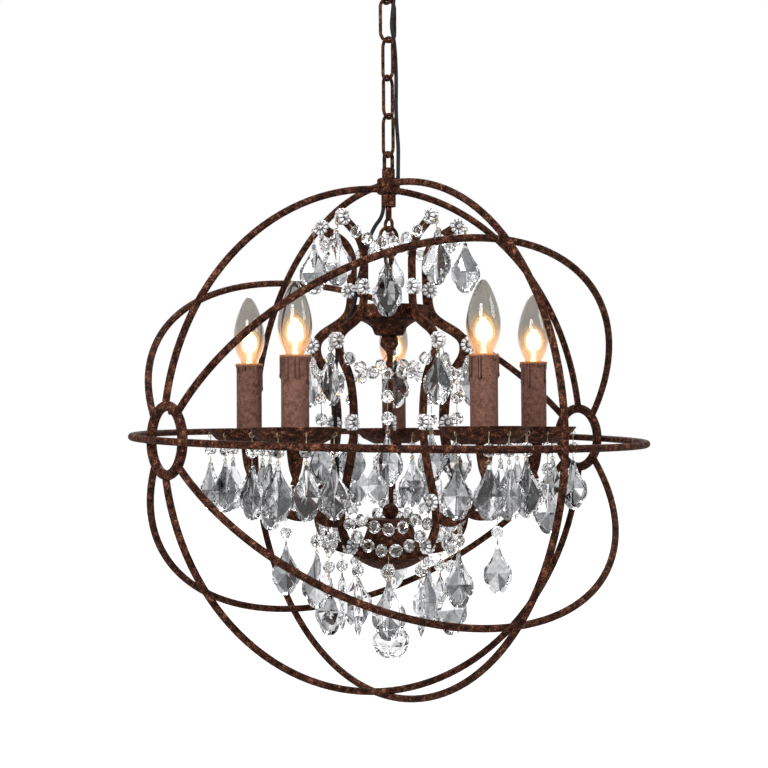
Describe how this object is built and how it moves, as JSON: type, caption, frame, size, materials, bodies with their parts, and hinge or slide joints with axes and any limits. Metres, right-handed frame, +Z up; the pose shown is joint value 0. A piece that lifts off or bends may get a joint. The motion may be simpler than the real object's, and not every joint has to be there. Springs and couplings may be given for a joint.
{
  "type": "orb chandelier",
  "caption": "Round cage of rusted iron rings on a chain, with a crystal-hung candle chandelier inside it.",
  "frame": {"origin": "centre of the two ceiling screw holes, on the ceiling plane, on the chain's axis", "axes": "+Z up; X runs through the two pole rings of the orb; Y is across it"},
  "size_m": [0.6, 0.5995, 0.9064],
  "materials": {
    "rusted_iron": "rust brown paint, fine rough speckle",
    "candle_tube": "rust brown, with moulded wax drips",
    "plated_steel": "zinc plated",
    "hook_wire": "bright wire",
    "black_flex": "smooth black sheath",
    "holder_plastic": "matt",
    "bulb_glass": "clear",
    "crystal": "cut and polished"
  },
  "bodies": {
    "canopy": {"ceiling_canopy": "rusted_iron", "crossbar": "plated_steel", "canopy_nipple": "plated_steel", "canopy_nuts": "plated_steel", "canopy_loop": "rusted_iron"},
    "link_1": {"chain_link_1": "rusted_iron", "flex_1": "black_flex"},
    "link_2": {"chain_link_2": "rusted_iron", "flex_2": "black_flex"},
    "link_3": {"chain_link_3": "rusted_iron", "flex_3": "black_flex"},
    "link_4": {"chain_link_4": "rusted_iron", "flex_4": "black_flex"},
    "link_5": {"chain_link_5": "rusted_iron", "flex_5": "black_flex"},
    "orb": {"orb_loop": "rusted_iron", "orb_hub": "rusted_iron", "ring_vertical": "rusted_iron", "ring_cross": "rusted_iron", "ring_sloping_front": "rusted_iron", "ring_sloping_back": "rusted_iron", "ring_equator": "rusted_iron", "pole_ring_left": "rusted_iron", "pole_ring_right": "rusted_iron", "hub_coupling": "rusted_iron", "drop_rod": "rusted_iron", "flex_6": "black_flex"},
    "drop_link": {"drop_link": "rusted_iron", "inner_flex_upper": "black_flex"},
    "chandelier": {"centre_stem": "rusted_iron", "waist_collar": "rusted_iron", "waist_dish": "rusted_iron", "waist_finial": "rusted_iron", "centre_rod": "rusted_iron", "bowl_upper": "rusted_iron", "bowl_lower": "rusted_iron", "frame_straps": "rusted_iron", "candle_arms": "rusted_iron", "candle_cups": "rusted_iron", "drip_pans": "rusted_iron", "candle_sleeves": "candle_tube", "lampholders": "holder_plastic", "strap_rosettes": "crystal", "bead_swags": "crystal", "pan_drops": "crystal", "frame_drops": "crystal", "drop_eyes": "hook_wire", "inner_flex_lower": "black_flex"},
    "bulb_1": {"bulb_1": "bulb_glass"},
    "bulb_2": {"bulb_2": "bulb_glass"},
    "bulb_3": {"bulb_3": "bulb_glass"},
    "bulb_4": {"bulb_4": "bulb_glass"},
    "bulb_5": {"bulb_5": "bulb_glass"},
    "crown_drop_1": {"crown_drop_1": "crystal"},
    "crown_drop_2": {"crown_drop_2": "crystal"},
    "crown_drop_3": {"crown_drop_3": "crystal"},
    "crown_drop_4": {"crown_drop_4": "crystal"},
    "crown_drop_5": {"crown_drop_5": "crystal"},
    "centre_drop": {"centre_drop": "crystal"},
    "ball_drop": {"ball_drop": "crystal"}
  },
  "joints": [
    {"name": "link_1_swing", "type": "hinge", "parent": "canopy", "child": "link_1", "pos_m": [0, 0, -0.055], "axis": [1, 0, 0], "range_deg": [-20, 20], "deforming": ["flex_1"]},
    {"name": "link_2_swing", "type": "hinge", "parent": "link_1", "child": "link_2", "pos_m": [0, 0, -0.09935], "axis": [0, 1, 0], "range_deg": [-20, 20], "deforming": ["flex_2"]},
    {"name": "link_3_swing", "type": "hinge", "parent": "link_2", "child": "link_3", "pos_m": [0, 0, -0.1442], "axis": [1, 0, 0], "range_deg": [-20, 20], "deforming": ["flex_3"]},
    {"name": "link_4_swing", "type": "hinge", "parent": "link_3", "child": "link_4", "pos_m": [0, 0, -0.18905], "axis": [0, 1, 0], "range_deg": [-20, 20], "deforming": ["flex_4"]},
    {"name": "link_5_swing", "type": "hinge", "parent": "link_4", "child": "link_5", "pos_m": [0, 0, -0.2339], "axis": [0.9063, 0.4226, 0], "range_deg": [-20, 20], "deforming": ["flex_5"]},
    {"name": "orb_swing", "type": "hinge", "parent": "link_5", "child": "orb", "pos_m": [0, 0, -0.27875], "axis": [0, 1, 0], "range_deg": [-15, 15], "deforming": ["flex_6"]},
    {"name": "drop_link_swing", "type": "hinge", "parent": "orb", "child": "drop_link", "pos_m": [0, 0, -0.36535], "axis": [0, 1, 0], "range_deg": [-8, 8], "deforming": ["inner_flex_upper"]},
    {"name": "chandelier_swing", "type": "hinge", "parent": "drop_link", "child": "chandelier", "pos_m": [0, 0, -0.3952], "axis": [1, 0, 0], "range_deg": [-8, 8], "deforming": ["inner_flex_lower"]},
    {"name": "bulb_1_out", "type": "slide", "parent": "chandelier", "child": "bulb_1", "axis": [0, 0, 1], "range_m": [0, 0.03]},
    {"name": "bulb_2_out", "type": "slide", "parent": "chandelier", "child": "bulb_2", "axis": [0, 0, 1], "range_m": [0, 0.03]},
    {"name": "bulb_3_out", "type": "slide", "parent": "chandelier", "child": "bulb_3", "axis": [0, 0, 1], "range_m": [0, 0.03]},
    {"name": "bulb_4_out", "type": "slide", "parent": "chandelier", "child": "bulb_4", "axis": [0, 0, 1], "range_m": [0, 0.03]},
    {"name": "bulb_5_out", "type": "slide", "parent": "chandelier", "child": "bulb_5", "axis": [0, 0, 1], "range_m": [0, 0.03]},
    {"name": "crown_drop_1_swing", "type": "hinge", "parent": "chandelier", "child": "crown_drop_1", "pos_m": [0.05507, 0.0758, -0.36345], "axis": [0.5878, 0.809, 0], "range_deg": [-15, 15]},
    {"name": "crown_drop_2_swing", "type": "hinge", "parent": "chandelier", "child": "crown_drop_2", "pos_m": [-0.05507, 0.0758, -0.36345], "axis": [-0.5878, 0.809, 0], "range_deg": [-15, 15]},
    {"name": "crown_drop_3_swing", "type": "hinge", "parent": "chandelier", "child": "crown_drop_3", "pos_m": [-0.08911, -0.02896, -0.36345], "axis": [-0.9511, -0.309, 0], "range_deg": [-15, 15]},
    {"name": "crown_drop_4_swing", "type": "hinge", "parent": "chandelier", "child": "crown_drop_4", "pos_m": [0, -0.0937, -0.36345], "axis": [0, -1, 0], "range_deg": [-15, 15]},
    {"name": "crown_drop_5_swing", "type": "hinge", "parent": "chandelier", "child": "crown_drop_5", "pos_m": [0.08911, -0.02896, -0.36345], "axis": [0.9511, -0.309, 0], "range_deg": [-15, 15]},
    {"name": "centre_drop_swing", "type": "hinge", "parent": "chandelier", "child": "centre_drop", "pos_m": [-0.04202, -0.05783, -0.39905], "axis": [-0.5878, -0.809, 0], "range_deg": [-15, 15]},
    {"name": "ball_drop_swing", "type": "hinge", "parent": "chandelier", "child": "ball_drop", "pos_m": [0, 0, -0.76255], "axis": [1, 0, 0], "range_deg": [-15, 15]}
  ]
}
